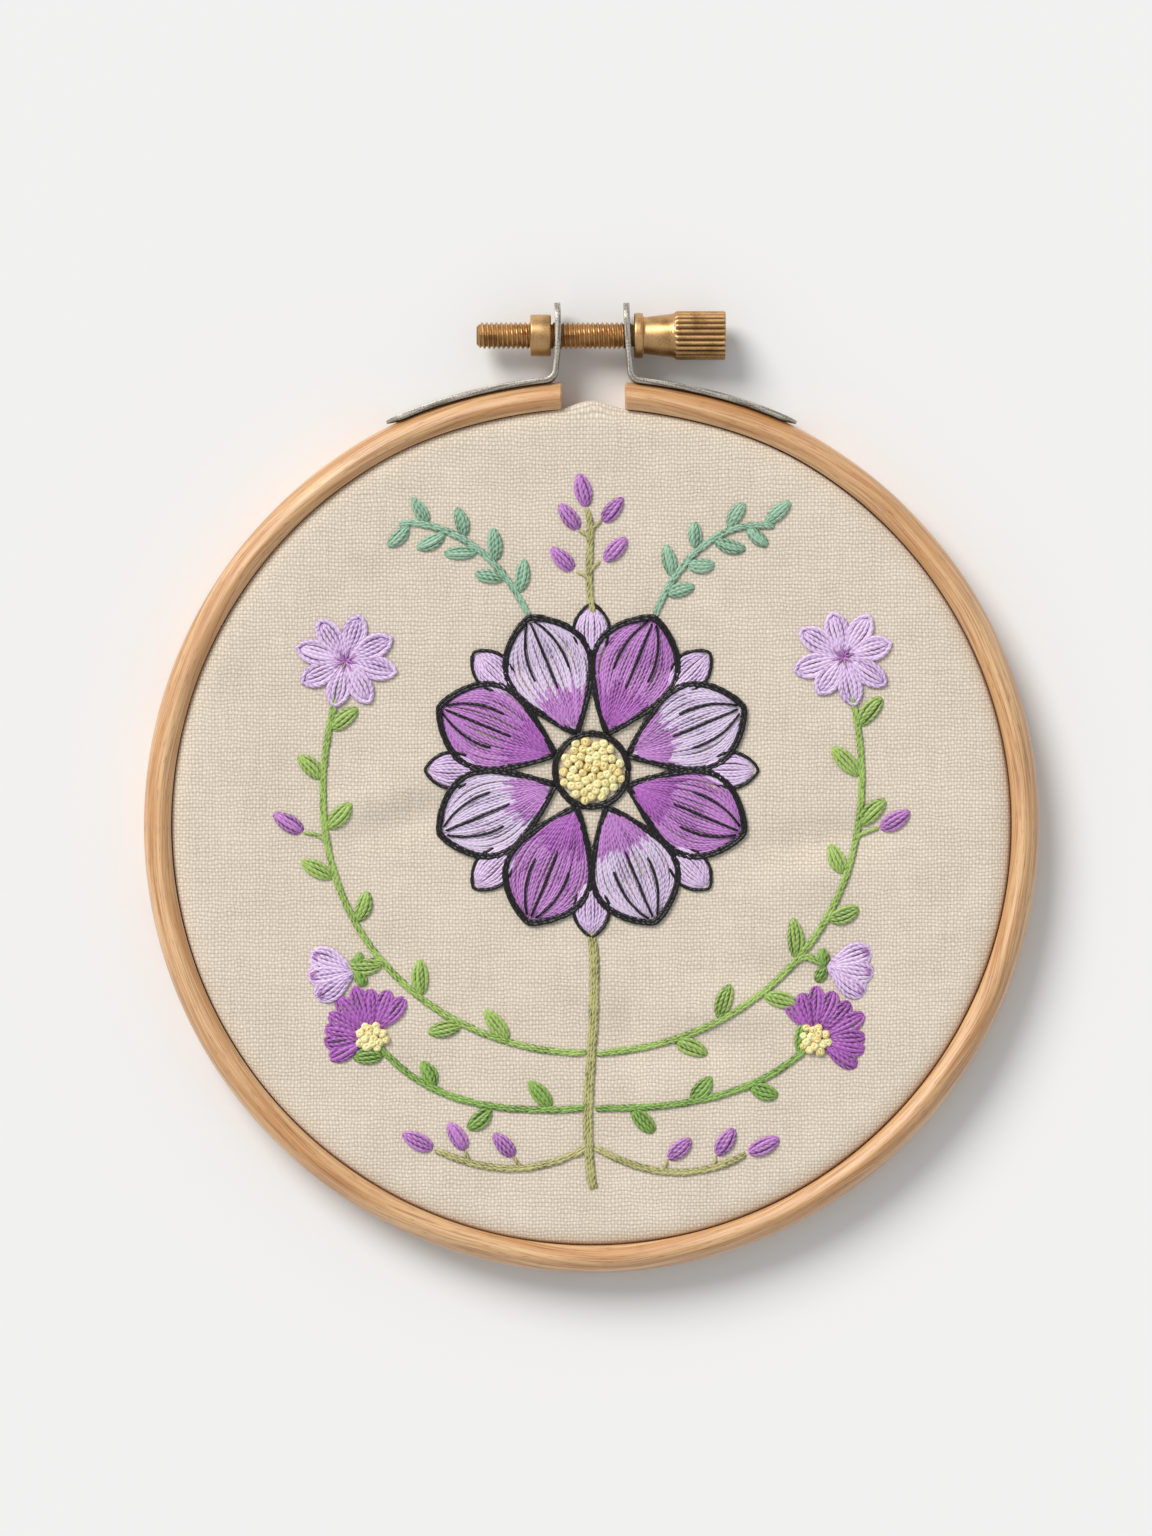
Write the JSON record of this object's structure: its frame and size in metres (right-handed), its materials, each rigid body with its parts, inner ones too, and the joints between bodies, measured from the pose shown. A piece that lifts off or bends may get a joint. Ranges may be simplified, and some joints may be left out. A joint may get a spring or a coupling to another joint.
{
  "type": "hoop embroidery art with its wooden hoop",
  "caption": "Round cloth embroidered with flowers and leaves, stretched in a split wooden hoop with a brass clamp screw and plated steel brackets.",
  "frame": {"origin": "bottom centre of the whole object's box: the work lies on its back, face up, on z = 0; the hoops' centre is at y = -0.0055", "axes": "+Z out of the embroidered face, +Y towards the clamp screw, which is the top of the picture, +X to the picture's right"},
  "size_m": [0.13, 0.141, 0.009],
  "materials": {
    "beech": "sanded beech under a thin satin varnish",
    "linen": "matt plain weave",
    "plated_steel": "dull zinc plated strip",
    "brass": "turned, slightly dulled"
  },
  "bodies": {
    "hoop": {"outer_hoop": "beech", "inner_hoop": "beech", "cloth": "linen", "bracket_left": "plated_steel", "bracket_right": "plated_steel", "clamp_nut": "brass"},
    "screw": {"thumbscrew": "brass"}
  },
  "joints": [
    {"name": "thumbscrew_turn", "type": "hinge", "parent": "hoop", "child": "screw", "pos_m": [0, 0.0657, 0.0045], "axis": [1, 0, 0], "range_deg": [0, 3700]}
  ]
}
